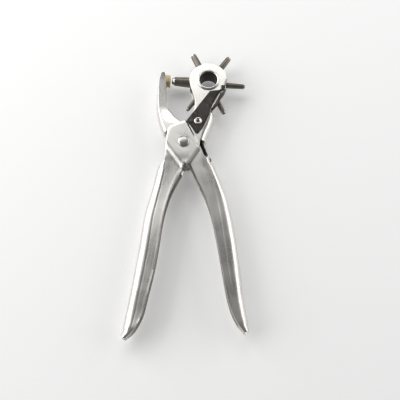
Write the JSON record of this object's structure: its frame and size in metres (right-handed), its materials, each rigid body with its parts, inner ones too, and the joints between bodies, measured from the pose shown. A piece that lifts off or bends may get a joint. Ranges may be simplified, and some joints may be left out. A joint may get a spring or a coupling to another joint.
{
  "type": "rotary hole punch",
  "caption": "Plier-style revolving leather punch with crossed pressed-steel levers, a turning wheel of hollow punch tubes, a brass anvil, a detent leaf and a return spring.",
  "frame": {"origin": "middle of the tool's footprint, at the back face of the raised pivot plate, which it lies on", "axes": "+Y from the handles to the punch head, +Z out of the front face, parallel to the pivot and the wheel axle, +X towards the punch wheel's side"},
  "size_m": [0.0928, 0.2314, 0.0196],
  "materials": {
    "satin_nickel": "satin nickel plate on pressed sheet steel",
    "bright_nickel": "bright nickel plate",
    "black_oxide": "oiled black oxide on steel",
    "brass": "dull machined brass",
    "steel": "plain turned steel"
  },
  "bodies": {
    "wheel_lever": {"wheel_lever": "satin_nickel", "pivot_rivet": "bright_nickel", "pivot_bush": "steel", "wheel_eyelet": "bright_nickel", "detent_spring": "black_oxide", "detent_rivet": "bright_nickel", "spring_pin": "steel", "return_spring": "black_oxide"},
    "anvil_lever": {"anvil_lever": "satin_nickel", "anvil_pad": "brass", "anvil_rivet": "steel"},
    "punch_wheel": {"wheel_hub": "black_oxide", "punch_tube_1": "black_oxide", "punch_tube_2": "black_oxide", "punch_tube_3": "black_oxide", "punch_tube_4": "black_oxide", "punch_tube_5": "black_oxide", "punch_tube_6": "black_oxide"}
  },
  "joints": [
    {"name": "lever_pivot", "type": "hinge", "parent": "wheel_lever", "child": "anvil_lever", "pos_m": [-0.00237, 0.03354, 0.0086], "axis": [0, 0, 1], "range_deg": [-1, 11], "stiffness_Nm_per_rad": 0.14, "springref_deg": 28.65, "deforming": ["return_spring"]},
    {"name": "wheel_spin", "type": "hinge", "parent": "wheel_lever", "child": "punch_wheel", "pos_m": [0.01713, 0.08814, 0.0086], "axis": [0, 0, 1], "continuous": true}
  ]
}
